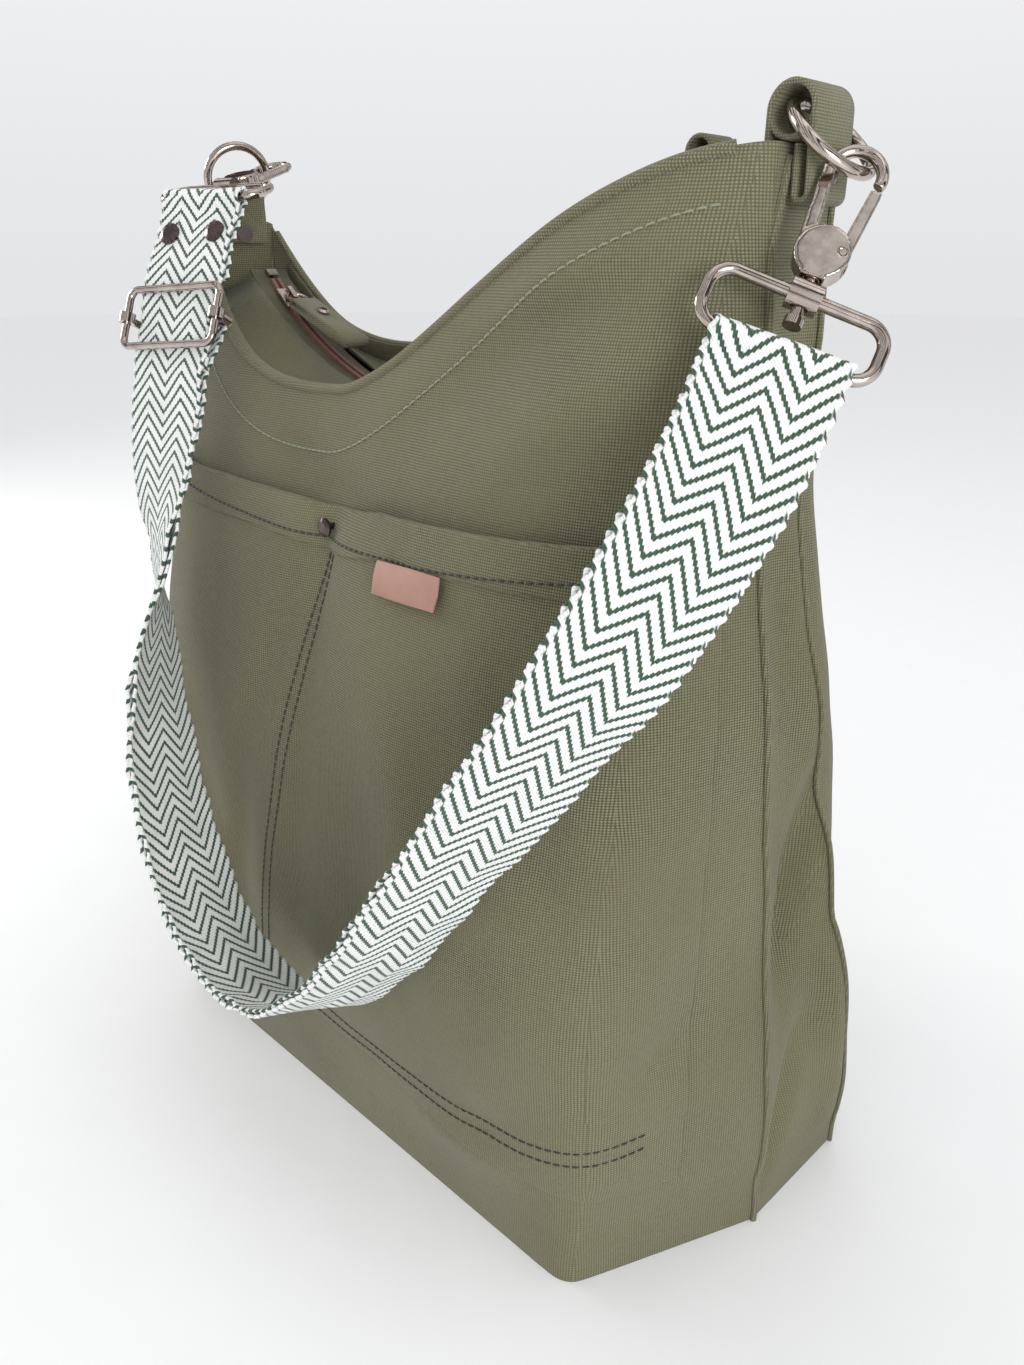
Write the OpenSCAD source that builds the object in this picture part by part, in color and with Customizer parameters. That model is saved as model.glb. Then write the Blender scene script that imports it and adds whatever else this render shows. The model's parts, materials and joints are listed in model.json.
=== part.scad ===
// Canvas hobo bag with a patch pocket, a recessed zip and a clip-on strap of doubled webbing.
// X runs across the bag, Y from front to back and Z up. The origin is the middle of the base.

/* [Bag] */
// Width of the base between the two side seams
base_w = 334; // [280:1:420]
// Depth of the base from front to back
base_d = 153; // [120:1:190]
// Height of the mouth's right corner above the floor
corner_h = 381; // [320:1:450]
// How much lower the left corner sits, pulled down by the strap
left_drop = 10; // [0:1:16]
// Width of the mouth between its corners
mouth_w = 286; // [240:1:330]
// Width of each gusset at the mouth
gusset_top_w = 33; // [26:1:44]
// Width of each gusset at the floor
gusset_foot_w = 58; // [46:1:72]
// How far the front rim sags below its corners
front_sag = 70; // [30:1:90]
// How far the back rim sags below its corners
back_sag = 58; // [30:1:80]
// How far the gussets fold inwards half-way up
gusset_fold = 9; // [0:1:14]
// Thickness of the canvas
canvas_t = 1.4; // [0.8:0.1:2]

/* [Pocket] */
// Height of the pocket's hem above the floor at its middle
pocket_top = 268; // [220:1:290]
// Height of the pocket's foot above the floor
pocket_foot = 44; // [30:1:70]
// Height of the turned hem
pocket_hem = 15; // [10:1:22]
// Greatest gap between pocket and front panel
pocket_gap = 6.5; // [5:0.5:10]
// Width of the sewn label
label_w = 33; // [20:1:45]
// Height of the sewn label
label_h = 12; // [8:1:18]
// Diameter of the rivet in the pocket's hem
pocket_rivet_d = 7; // [5:0.5:9]

/* [Zip] */
// Length of the straight line between the two ends of the zip
zip_span = 244; // [180:1:250]
// Drop of the zip's middle below its ends
zip_sag = 54; // [30:1:60]
// Height of the zip's ends above the floor
zip_end_h = 349; // [300:1:352]
// Width of one tape
zip_tape_w = 9; // [7:0.5:12]
// Width of the closed teeth
zip_teeth_w = 5; // [4:0.5:6]

/* [Tabs and rings] */
// Width of the canvas tabs
tab_w = 21; // [16:1:22]
// Inner radius of the tunnel that each tab forms
tunnel_r = 5.8; // [5.6:0.1:6.5]
// Middle radius of the round rings
ring_r = 13.2; // [12.8:0.1:15.5]
// Diameter of the ring wire
ring_wire = 3.6; // [3:0.1:3.8]

/* [Hooks] */
// Diameter of the wire of the webbing loops
loop_wire = 3.6; // [3:0.1:4]
// Height of a webbing loop between the middles of its bars
loop_h = 16; // [14:0.5:20]
// Height of the hook's bow above the swivel
bow_h = 36; // [35:0.5:40]
// Middle radius of the bow
bow_r = 7; // [6.8:0.1:8]
// Diameter of the bow
bow_wire = 3.4; // [2.8:0.1:3.8]

/* [Strap] */
// Width of the webbing
web_w = 40; // [36:1:41]
// Thickness of the webbing
web_t = 1.6; // [1:0.1:2]
// Distance from the left loop's bar to the slider's bar
slider_at = 49; // [46:1:60]
// Distance between the slider's two outer bars
slider_h = 24; // [20:0.5:26]

/* [Hidden] */

canvas = "#5b5c45";
canvas_inside = "#4b4d3a";
nickel = "#c9c4bf";
$fn = 32;

// Small clearance between pieces that touch, and between pieces that move
fit = 0.1;
run = 0.3;

// ---------- helpers ----------
function mix(a, b, k) = a + (b - a) * k;
function bez(a, b, c, d, k) =
    pow(1 - k, 3) * a + 3 * k * pow(1 - k, 2) * b + 3 * k * k * (1 - k) * c + pow(k, 3) * d;
function unit(v) = v / norm(v);
function clamp(x, lo, hi) = max(lo, min(hi, x));
// Point and slope of a smooth curve through a list of points, with k from 0 to 1
function spline(pts, k) =
    let (n = len(pts) - 1, i = min(floor(k * n), n - 1), f = k * n - i,
        a = pts[max(i - 1, 0)], b = pts[i], c = pts[i + 1], d = pts[min(i + 2, n)])
    0.5 * (2 * b + (c - a) * f + (2 * a - 5 * b + 4 * c - d) * f * f
        + (3 * b - a - 3 * c + d) * f * f * f);

// Places its children in a frame given by an origin, an X direction and a Z direction
module placed(o, x, z) {
    zz = unit(z);
    xx = unit(x - (x * zz) * zz);
    yy = cross(zz, xx);
    multmatrix([[xx.x, yy.x, zz.x, o.x], [xx.y, yy.y, zz.y, o.y], [xx.z, yy.z, zz.z, o.z], [0, 0, 0, 1]])
        children();
}

// A closed solid between two grids of points of the same size: rows along, columns across.
// Seen from the top grid's side, the columns run clockwise from the rows.
module slab(top, under) {
    rows = len(top);
    cols = len(top[0]);
    n = rows * cols;
    function o(r, c) = r * cols + c;
    function q(r, c) = n + r * cols + c;
    faces = concat(
        [for (r = [0 : rows - 2], c = [0 : cols - 2]) each [
            [o(r, c), o(r, c + 1), o(r + 1, c + 1)], [o(r, c), o(r + 1, c + 1), o(r + 1, c)],
            [q(r, c), q(r + 1, c + 1), q(r, c + 1)], [q(r, c), q(r + 1, c), q(r + 1, c + 1)]]],
        [for (r = [0 : rows - 2]) each [
            [o(r, 0), o(r + 1, 0), q(r + 1, 0)], [o(r, 0), q(r + 1, 0), q(r, 0)],
            [o(r, cols - 1), q(r + 1, cols - 1), o(r + 1, cols - 1)],
            [o(r, cols - 1), q(r, cols - 1), q(r + 1, cols - 1)]]],
        [for (c = [0 : cols - 2]) each [
            [o(0, c), q(0, c), q(0, c + 1)], [o(0, c), q(0, c + 1), o(0, c + 1)],
            [o(rows - 1, c), q(rows - 1, c + 1), q(rows - 1, c)],
            [o(rows - 1, c), o(rows - 1, c + 1), q(rows - 1, c + 1)]]]);
    polyhedron([for (row = top) each row, for (row = under) each row], faces);
}

// ---------- the bag's shape ----------
// Each level of the bag is a closed loop of points, and level runs from 0 at the floor to 1 at the rim.
front_n = 24;
gusset_n = 5;
back_n = 18;
loop_n = front_n + 2 * gusset_n + back_n;
seam_b = front_n + gusset_n;
seam_c = seam_b + back_n;

half_w = base_w / 2;
half_m = mouth_w / 2;
front_y = -base_d / 2;
back_y = base_d / 2;

function front_mid_y(k) = bez(front_y, front_y - 15, front_y - 2, -gusset_top_w - 9, k);
function back_mid_y(k) = bez(back_y, back_y + 18, back_y - 16, gusset_top_w - 9, k);
function seam_x(k) = bez(half_w - 2, half_w + 1, half_m + 5, half_m, k);
function back_seam_x(k) = bez(half_w, half_w + 1, half_m + 3, half_m - 1, k);
function back_seam_y(k) = bez(base_d / 2 - 21, base_d / 2 - 26, -5, gusset_top_w / 2 - 1, k);
function front_seam_y(k) =
    back_seam_y(k) - bez(gusset_foot_w, gusset_foot_w - 6, gusset_top_w - 14, gusset_top_w, k);
function corner_x(k) = bez(half_w - 36, half_w - 34, half_m - 14, half_m - 16, k);
function back_corner_x(k) = bez(half_w - 22, half_w - 26, half_m - 10, half_m - 14, k);

// Two straight runs from a to b to c with the corner at b rounded; k runs from 0 to 1
function rounded(a, b, c, cut_a, cut_c, k) =
    let (ca = min(cut_a, norm(a - b) * 0.98), cc = min(cut_c, norm(c - b) * 0.98),
        p = b + unit(a - b) * ca, r = b + unit(c - b) * cc)
    k < 0.5 ? mix(a, p, k / 0.5)
    : k < 0.85 ? let (t = (k - 0.5) / 0.35)
        (1 - t) * (1 - t) * p + 2 * t * (1 - t) * b + t * t * r
    : mix(r, c, (k - 0.85) / 0.15);

// One quarter of the outline on the right side, from the middle of a panel to its side seam
function front_quarter(k, level) = rounded([0, front_mid_y(level)], [corner_x(level), front_mid_y(level)],
    [seam_x(level), front_seam_y(level)], bez(8, 60, 90, 110, level), bez(8, 40, 30, 26, level), k);
function back_quarter(k, level) = rounded([0, back_mid_y(level)], [back_corner_x(level), back_mid_y(level)],
    [back_seam_x(level), back_seam_y(level)], bez(10, 60, 90, 110, level), bez(10, 30, 28, 16, level), k);
function gusset_pt(k, level) =
    [mix(seam_x(level), back_seam_x(level), k) - gusset_fold * sin(180 * level) * sin(180 * k),
     mix(front_seam_y(level), back_seam_y(level), k)];
function flip(p) = [-p.x, p.y];

function loop_pt(i, level) =
    i <= front_n / 2 ? flip(front_quarter(1 - i / (front_n / 2), level))
    : i <= front_n ? front_quarter(i / (front_n / 2) - 1, level)
    : i <= seam_b ? gusset_pt((i - front_n) / gusset_n, level)
    : i <= seam_b + back_n / 2 ? back_quarter(1 - (i - seam_b) / (back_n / 2), level)
    : i <= seam_c ? flip(back_quarter((i - seam_b) / (back_n / 2) - 1, level))
    : flip(gusset_pt(1 - (i - seam_c) / gusset_n, level));
function wrap(i) = i < 0 ? i + loop_n : i >= loop_n ? i - loop_n : i;

// Heights of the rim: the front sags most left of the middle, the back further left still
front_low_x = -mouth_w * 0.14;
back_low_x = -mouth_w * 0.25;
function corner_z(x) = corner_h - left_drop * (0.5 - x / mouth_w);
function dip(x, low) = x > low
    ? (1 + cos(180 * min(1, (x - low) / (half_m - low)))) / 2
    : max(0, 1 - pow(min(1, (low - x) / (low + half_m)), 2.2));
function rim_z(i) =
    let (x = loop_pt(i, 1).x)
    corner_z(x) - (i <= front_n ? front_sag * dip(x, front_low_x)
        : i < seam_b || i > seam_c ? 0 : back_sag * dip(x, back_low_x));

// Outward direction in plan at one point of the loop
function outward(i, level) =
    let (d = loop_pt(wrap(i + 1), level) - loop_pt(wrap(i - 1), level))
    unit([d.y, -d.x]);
// A point on the bag, moved outwards by off
function bag_pt(i, level, off) =
    let (p = loop_pt(wrap(i), level) + off * outward(wrap(i), level))
    [p.x, p.y, level * rim_z(wrap(i))];
// The same at a chosen height, where i may lie between two points of the loop
function bag_at(i, z, off) =
    let (a = floor(i), f = i - a)
    mix(bag_pt(a, z / rim_z(wrap(a)), off), bag_pt(a + 1, z / rim_z(wrap(a + 1)), off), f);

levels = [0, 0.03, 0.08, 0.15, 0.24, 0.34, 0.45, 0.56, 0.67, 0.77, 0.86, 0.93, 1];

module panel(first, last) {
    slab([for (l = levels) [for (i = [first : last]) bag_pt(i, l, -canvas_t)]],
        [for (l = levels) [for (i = [first : last]) bag_pt(i, l, 0)]]);
}

module front_panel() {
    color(canvas) panel(0, front_n);
}
module back_panel() {
    color(canvas) panel(seam_b, seam_c);
}
module gusset_right() {
    color(canvas) panel(front_n, seam_b);
}
module gusset_left() {
    color(canvas) panel(seam_c, loop_n);
}

// The base lies inside the foot of the four walls
module base_panel() {
    gap = canvas_t + fit;
    outline = [for (i = [0 : loop_n - 1]) loop_pt(i, 0) - gap * 1.3 * outward(i, 0)];
    color(canvas) linear_extrude(canvas_t) polygon(outline);
}

// ---------- turned hems of the mouth ----------
facing_h = 26;
module facing(first, last) {
    rows = [for (k = [0, 0.5, 1]) [for (i = [first : last])
        1 - (1 - k) * facing_h / rim_z(wrap(i)) - 0.002]];
    slab([for (r = rows) [for (i = [first : last]) bag_pt(i, r[i - first], -2 * canvas_t - 0.5)]],
        [for (r = rows) [for (i = [first : last]) bag_pt(i, r[i - first], -canvas_t - 0.5)]]);
}
module front_facing() {
    color(canvas_inside) facing(2, front_n - 2);
}
module back_facing() {
    color(canvas_inside) facing(seam_b + 2, seam_c - 2);
}

// ---------- patch pocket ----------
// The pocket spans the front panel between the seams. Its edges and its foot are sewn down.
pocket_a = 1;
pocket_b = front_n - 1;
pocket_split = 11;
pocket_steps = 8;
function pocket_lift(i) = 12 * pow(abs(i - pocket_split) / (front_n / 2), 2);
function pocket_z(i, k) = mix(pocket_foot - 6 * pow(abs(i - front_n / 2) / (front_n / 2), 2),
    pocket_top + pocket_lift(i), k);
function pocket_bulge(i, k) =
    let (j = i < pocket_split ? (i - pocket_a) / (pocket_split - pocket_a)
        : (i - pocket_split) / (pocket_b - pocket_split))
    pow(sin(180 * j), 0.7) * sqrt(sin(90 * k)) * (pocket_gap - fit) + fit;
// The turned hem is double thickness
module front_pocket() {
    hem_low = 1 - pocket_hem / (pocket_top - pocket_foot);
    rows = concat([for (n = [0 : pocket_steps]) [hem_low * n / pocket_steps, canvas_t]],
        [[hem_low + 0.004, 2 * canvas_t], [1, 2 * canvas_t]]);
    color(canvas) slab(
        [for (r = rows) [for (i = [pocket_a : pocket_b])
            bag_at(i, pocket_z(i, r[0]), pocket_bulge(i, r[0]))]],
        [for (r = rows) [for (i = [pocket_a : pocket_b])
            bag_at(i, pocket_z(i, r[0]), pocket_bulge(i, r[0]) + r[1])]]);
}

// The label is tucked under the hem on the right
label_i = 18.4;
label_top = pocket_top - pocket_hem + 6;
module label() {
    z0 = label_top - label_h;
    k0 = (z0 - pocket_foot) / (pocket_top - pocket_foot);
    mid = bag_at(label_i, z0, pocket_bulge(label_i, k0) + canvas_t + 2);
    side = bag_at(label_i + 1, z0, pocket_bulge(label_i + 1, k0) + canvas_t + 2);
    color("#a8796b")
        placed(mid, side - mid, [0, 0.3, 1])
            translate([-label_w / 2, -2.2, 0]) cube([label_w, 0.8, label_h]);
}

// Cap rivet with a post, its axis along Z and the underside of its cap at the origin
module cap_rivet(d, post_d, post_l, far_cap) {
    cylinder(d = d, h = 0.9);
    translate([0, 0, 0.9]) cylinder(d1 = d, d2 = d * 0.6, h = 0.7, $fn = 48);
    translate([0, 0, -post_l]) cylinder(d = post_d, h = post_l);
    if (far_cap > 0) translate([0, 0, -post_l - 1]) cylinder(d = far_cap, h = 1);
}
module pocket_rivet() {
    z = pocket_top - pocket_hem / 2 + 1;
    p = bag_at(pocket_split, z, 2 * canvas_t + 2.4);
    q = bag_at(pocket_split, z, 9);
    color(nickel) placed(p, [1, 0, 0], q - p) cap_rivet(pocket_rivet_d, 2.4, 2 * canvas_t + 2.2, 0);
}

// ---------- zip ----------
// The zip lies on a circular arc in an upright plane, open side up
zip_y = -2;
zip_r = (pow(zip_span / 2, 2) + pow(zip_sag, 2)) / (2 * zip_sag);
zip_cz = zip_end_h - zip_sag + zip_r;
zip_angle = asin(zip_span / 2 / zip_r);
zip_t = 1;
// Slit between the two halves, which the slider's wedge runs in
zip_slit = 1.6;
// Turns a profile drawn as [distance inwards from the arc, Y] round the zip's centre
module along_zip(from, to) {
    translate([0, 0, zip_cz]) rotate([90, 0, 0]) rotate([0, 0, -90 + from])
        rotate_extrude(angle = to - from, $fn = 96) children();
}
module zip_bar(w, y0, lift, h, from, to) {
    along_zip(from, to) translate([zip_r - lift - h, -zip_y - y0 - w]) square([h, w]);
}
module zip_tape(side) {
    w = zip_tape_w - zip_slit / 2;
    zip_bar(w, side < 0 ? -zip_tape_w : zip_slit / 2, 0, zip_t, -zip_angle, zip_angle);
}
module zip_tape_front() {
    color("#55503f") zip_tape(-1);
}
module zip_tape_back() {
    color("#55503f") zip_tape(1);
}
// The teeth are coils that start clear of the stops at both ends
zip_end = 2.4;
module zip_teeth(side) {
    w = (zip_teeth_w - zip_slit) / 2;
    y0 = side < 0 ? -zip_teeth_w / 2 : zip_slit / 2;
    zip_bar(w, y0, zip_t + fit, 1.6, -zip_angle + zip_end, zip_angle - zip_end);
}
module zip_teeth_front() {
    color("#6b4636") zip_teeth(-1);
}
module zip_teeth_back() {
    color("#6b4636") zip_teeth(1);
}
module zip_stops() {
    color(nickel) for (from = [-zip_angle + 0.6, zip_angle - 1.8])
        zip_bar(zip_teeth_w, -zip_teeth_w / 2, zip_t + fit, 2, from, from + 1.2);
}

// Canvas between a tape and the facing, following the rim's sag
function zip_arc_z(x) = zip_cz - sqrt(zip_r * zip_r - x * x);
function wall_x(i, back) = clamp(loop_pt(i, 1).x, -zip_span / 2 + 2, zip_span / 2 - 2);
function wall_pt(i, drop) =
    let (x = wall_x(i), z = min(zip_arc_z(x) + 6, rim_z(wrap(i)) - 6) - drop)
    bag_at(i, z, -2 * canvas_t - 1.2);
function tape_pt(i, side, drop) =
    let (x = wall_x(i))
    [x, zip_y + side * (zip_tape_w + fit), zip_arc_z(x) - drop + zip_t];
module zip_panel(first, last, side) {
    cols = [for (i = [first : last]) i];
    steps = [0, 0.33, 0.67, 1];
    top = [for (k = steps) [for (i = cols) mix(tape_pt(i, side, 0), wall_pt(i, 0), k)
        + [0, 0, -1.5 * sin(180 * k)]]];
    under = [for (k = steps) [for (i = cols) mix(tape_pt(i, side, zip_t), wall_pt(i, zip_t), k)
        + [0, 0, -1.5 * sin(180 * k)]]];
    slab(top, under);
}
module zip_panel_front() {
    color(canvas_inside) zip_panel(3, front_n - 3, -1);
}
module zip_panel_back() {
    color(canvas_inside) zip_panel(seam_b + 2, seam_c - 2, 1);
}

// The slider straddles the teeth: two plates and a bridge, at the left end of the zip
slider_l = 11;
slider_w = 9;
slider_from = -zip_angle + zip_end + 4.6;
slider_run = 0.4;
slider_over = zip_t + fit + 1.6 + slider_run;
module at_slider() {
    translate([0, 0, zip_cz]) rotate([0, -slider_from, 0]) translate([0, zip_y, -zip_r]) children();
}
module zip_slider() {
    over = slider_over;
    color(nickel) at_slider() {
        translate([-slider_l / 2, -slider_w / 2, over]) cube([slider_l, slider_w, 1.4]);
        translate([-slider_l / 2, -slider_w / 2, -slider_run - 1]) cube([slider_l, slider_w, 1]);
        // Wedge in the slit between the two halves
        translate([-slider_l / 2, -zip_slit / 2 + run, -slider_run - 0.5])
            cube([slider_l / 2, zip_slit - 2 * run, over + slider_run + 1]);
        // Bridge that carries the pull ring
        difference() {
            translate([-3.5, -1.2, over + 1.4]) cube([7, 2.4, 3.2]);
            translate([0, 0, over + 2.9]) rotate([90, 0, 0]) cylinder(r = 1.1, h = 4, center = true);
        }
    }
}
pull_r = 4.6;
pull_wire = 1.6;
pull_lean = 18;
module at_pull() {
    at_slider() translate([0, 0, slider_over + 2.9]) rotate([0, -pull_lean, 0]) children();
}
module zip_pull_ring() {
    color(nickel) at_pull() translate([pull_r, 0, 0])
        rotate_extrude() translate([pull_r, 0]) circle(d = pull_wire);
}
strip_l = 40;
strip_w = 13;
// Folded canvas strip with the pull ring in its fold
module zip_pull_strip() {
    r = pull_wire / 2 + run;
    color(canvas) at_pull() translate([2 * pull_r, 0, 0]) difference() {
        union() {
            translate([0, 0, -r - 1]) cube([strip_l, strip_w / 2, 2 * r + 2]);
            translate([0, -strip_w / 2, -r - 1]) cube([strip_l, strip_w / 2, 2 * r + 2]);
            rotate([90, 0, 0]) cylinder(r = r + 1, h = strip_w, center = true);
        }
        // Room for the curved ring inside the fold
        rotate([90, 0, 0]) cylinder(r = r, h = strip_w + 1, center = true);
        translate([-pull_r * 2, -strip_w / 2 - 1, -r]) cube([pull_r * 2 + 2.2, strip_w + 2, 2 * r]);
        // Hole for the rivet
        translate([strip_l * 0.35, 0, 0]) cylinder(d = 2.4, h = 12, center = true);
    }
}
module zip_pull_rivet() {
    r = pull_wire / 2 + run + 1;
    color(nickel) at_pull() translate([2 * pull_r + strip_l * 0.35, 0, r])
        cap_rivet(5, 2.4, 2 * r, 5);
}

// ---------- tabs over the gussets, with their rings ----------
// Drawn with the tunnel's axis along Y at the origin, the bag's inside towards -X
tab_t = 1.6;
tab_drop = 20;
tab_gap = 2.4;
tab_rivet_z = -14.5;
tab_leg = tunnel_r + tab_t;
// The outer leg of the right tab is folded up again at its foot
module tab(folded) {
    difference() {
        union() {
            // Tunnel, closed underneath
            rotate([90, 0, 0]) difference() {
                cylinder(r = tab_leg, h = tab_w, center = true);
                cylinder(r = tunnel_r, h = tab_w + 1, center = true);
            }
            translate([tab_leg - tab_t, -tab_w / 2, -tab_drop]) cube([tab_t, tab_w, tab_drop]);
            if (folded) {
                rotate([90, 0, 0]) translate([tab_leg - tab_t - tab_gap / 2, -tab_drop, -tab_w / 2])
                    rotate([0, 0, 180]) rotate_extrude(angle = 180)
                        translate([tab_gap / 2, 0]) square([tab_t, tab_w]);
                translate([tab_leg - 2 * tab_t - tab_gap, -tab_w / 2, -tab_drop])
                    cube([tab_t, tab_w, tab_drop - tab_leg - 0.5]);
            }
            // Inner leg
            translate([-tab_leg, -tab_w / 2, -tab_drop + 2]) cube([tab_t, tab_w, tab_drop - 2]);
        }
        translate([0, 0, tab_rivet_z]) rotate([0, 90, 0]) cylinder(d = 2.5, h = 30, center = true);
    }
}
module tab_rivet() {
    translate([tab_leg, 0, tab_rivet_z]) rotate([0, 90, 0]) cap_rivet(6.6, 2.4, 2 * tab_leg, 6.6);
}
tab_turn_left = -18;
tab_right_at = [half_m + 1, -3, corner_h + tab_leg + 0.3];
tab_left_at = [-half_m - 0.6, 0, corner_h - left_drop + tab_leg + 0.3];
module at_tab_right() {
    translate(tab_right_at) children();
}
module at_tab_left() {
    translate(tab_left_at) rotate([0, 0, tab_turn_left]) mirror([1, 0, 0]) children();
}
module tab_right() {
    color(canvas) at_tab_right() tab(true);
}
module tab_left() {
    color(canvas) at_tab_left() tab(false);
}
module tab_rivet_right() {
    color("#55504e") at_tab_right() tab_rivet();
}
module tab_rivet_left() {
    color("#55504e") at_tab_left() tab_rivet();
}

// A ring threaded through a tunnel, swung out by an angle below the horizontal
ring_offset = ring_r - (tunnel_r - ring_wire / 2 - 0.5);
module o_ring(swing) {
    rotate([0, swing, 0]) translate([ring_offset, 0, 0])
        rotate_extrude($fn = 64) translate([ring_r, 0]) circle(d = ring_wire);
}
ring_swing_right = 43;
ring_swing_left = -112;
module ring_right() {
    color(nickel) at_tab_right() o_ring(ring_swing_right);
}
module ring_left() {
    color(nickel) at_tab_left() o_ring(ring_swing_left);
}

// Small loop with a key ring, sewn inside the mouth by the right corner
key_at = [half_m - 36, 6, corner_h + 1];
key_tunnel = 3.6;
module key_loop() {
    color(canvas) translate(key_at) {
        rotate([90, 0, 0]) difference() {
            cylinder(r = key_tunnel + 1.4, h = 14, center = true);
            cylinder(r = key_tunnel, h = 15, center = true);
        }
        translate([key_tunnel, -7, -1.4]) cube([20, 14, 1.4]);
    }
}
module key_ring() {
    color("#7a5a4a") translate(key_at) rotate([0, 90, 0]) translate([8, 0, 0])
        rotate_extrude($fn = 48) translate([10, 0]) circle(d = 2);
}

// ---------- trigger hooks ----------
// Drawn with the swivel's axis along Z, the webbing loop's upper bar along X at the origin
// and the hook's eye in the XZ plane
body_t = 6.4;
bulb_z = 12;
bulb_r = 7.4;
post_r = 1.8;
pin_r = 0.9;
gate_x = 5;
gate_z = bulb_z + 1;
gate_t = 2.6;
bow_end = -14;
gate_tip_z = bow_h - 2.6;

module hook_body() {
    arm = bow_wire / 2;
    difference() {
        union() {
            rotate([90, 0, 0]) linear_extrude(body_t, center = true) {
                translate([0, bulb_z]) circle(r = bulb_r);
                polygon([[-3.4, 4.6], [3.4, 4.6], [bulb_r - 1, bulb_z], [1 - bulb_r, bulb_z]]);
            }
            // Arm that rises from the bulb into the bow
            rotate([90, 0, 0]) linear_extrude(bow_wire, center = true)
                polygon([[-bulb_r + 0.2, bulb_z], [-bow_r - arm, bow_h], [-bow_r + arm, bow_h],
                    [-bow_r + 2 * arm, bulb_z + bulb_r], [-1, bulb_z + bulb_r - 2]]);
            translate([0, 0, bow_h]) rotate([90, 0, 0]) rotate([0, 0, bow_end])
                rotate_extrude(angle = 184 - bow_end) translate([bow_r, 0]) circle(d = bow_wire);
        }
        // Slot for the gate, bores for its pin and for the swivel post
        translate([0.6, -gate_t / 2 - run, gate_z - 4]) cube([bulb_r, gate_t + 2 * run, 20]);
        translate([gate_x, 0, gate_z]) rotate([90, 0, 0]) cylinder(r = pin_r, h = body_t + 1, center = true);
        translate([0, 0, 4]) cylinder(r = post_r, h = 4);
    }
}
module hook_gate() {
    translate([gate_x, 0, gate_z]) difference() {
        union() {
            rotate([90, 0, 0]) cylinder(r = 2, h = gate_t, center = true);
            rotate([90, 0, 0]) linear_extrude(gate_t, center = true) {
                tip = gate_tip_z - gate_z - 0.6;
                polygon([[-1.6, 1], [0.4, tip], [3.4, tip], [1.9, -0.6]]);
            }
        }
        rotate([90, 0, 0]) cylinder(r = pin_r + 0.06, h = gate_t + 1, center = true);
    }
}
module hook_pin() {
    translate([gate_x, 0, gate_z]) rotate([90, 0, 0]) cylinder(r = pin_r, h = body_t, center = true);
}
// Leaf spring in the slot behind the gate
module hook_spring() {
    translate([1, -gate_t / 2, gate_z - 3.6]) cube([0.5, gate_t, 5.4]);
}
module hook_post() {
    translate([0, 0, -6.6]) cylinder(r = post_r, h = 14.6);
    translate([0, 0, -8.6]) cylinder(r = 2.6, h = 2.2);
}
ferrule_r = 4.2;
ferrule_l = 8.6;
module hook_ferrule() {
    difference() {
        rotate([0, 90, 0]) cylinder(r = ferrule_r, h = ferrule_l, center = true);
        cylinder(r = post_r + 0.06, h = 12, center = true);
    }
}
// Wire loop: upper bar in two halves that end in the ferrule, round corners, lower bar
loop_half = web_w / 2 + 4.3;
loop_corner = 6;
module quarter(angle) {
    rotate([90, 0, 0]) rotate([0, 0, angle])
        rotate_extrude(angle = 90) translate([loop_corner, 0]) circle(d = loop_wire);
}
module hook_loop() {
    flat = loop_half - loop_corner;
    for (side = [0, 1]) mirror([side, 0, 0]) {
        translate([ferrule_l / 2, 0, 0]) rotate([0, 90, 0])
            cylinder(d = loop_wire, h = flat - ferrule_l / 2);
        translate([flat, 0, -loop_corner]) quarter(0);
        translate([loop_half, 0, -loop_h + loop_corner]) cylinder(d = loop_wire, h = loop_h - 2 * loop_corner);
        translate([flat, 0, -loop_h + loop_corner]) quarter(-90);
    }
    translate([0, 0, -loop_h]) rotate([0, 90, 0]) cylinder(d = loop_wire, h = 2 * flat, center = true);
}

// ---------- strap ----------
// Middle line of the doubled webbing from the left bar to the right bar, chosen by hand.
// Each row is X, Y, Z and the direction of the far edge: its bearing and its slope in degrees.
strap_route = [
    [-114, -34, 377, 205, -8],
    [-104, -57, 331, 203, -12],
    [-94, -76, 284, 192, -15],
    [-83, -90, 238, 158, -16],
    [-74, -103, 192, 122, -15],
    [-60, -111, 146, 106, -15],
    [-35, -114, 104, 98, -17],
    [0, -114, 86, 96, -19],
    [35, -113, 96, 88, -23],
    [68, -111, 128, 80, -23],
    [98, -106, 172, 74, -19],
    [126, -97, 216, 66, -19],
    [150, -82, 260, 53, -20],
    [159, -55, 300, 42, -19],
    [160, -35, 330, 34, -18]];
function far_dir(k) =
    let (r = spline(strap_route, k))
    [cos(r[3]) * cos(r[4]), sin(r[3]) * cos(r[4]), sin(r[4])];
function route_pt(k) = let (r = spline(strap_route, k)) [r[0], r[1], r[2]];
function route_dir(k) = unit(route_pt(min(1, k + 0.004)) - route_pt(max(0, k - 0.004)));
// Width direction squared up to the run, and the direction out of the loop
function width_dir(k) = let (t = route_dir(k), w = far_dir(k)) unit(w - (w * t) * t);
function out_dir(k) = cross(width_dir(k), route_dir(k));

web_n = 66;
run_step = 1 / web_n;
route_l = [for (i = 0, s = 0; i <= web_n;
    s = s + norm(route_pt(min(1, (i + 1) * run_step)) - route_pt(i * run_step)), i = i + 1) s];
strap_len = route_l[web_n];
// Distance along the run at k, and the k of a distance near the left end
function dist(k) = strap_len * k;

bar_r = loop_wire / 2 + run + web_t / 2;
flat_off = web_t / 2 + run / 2;
centre_bar_d = 3.4;
wrap_r = centre_bar_d / 2 + run + web_t / 2;
bar_depth = 2.2;
k_slider = slider_at / strap_len;
tail_l = 34;
end_l = 20;
over_bar = wrap_r - bar_depth + web_t + run;

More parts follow.
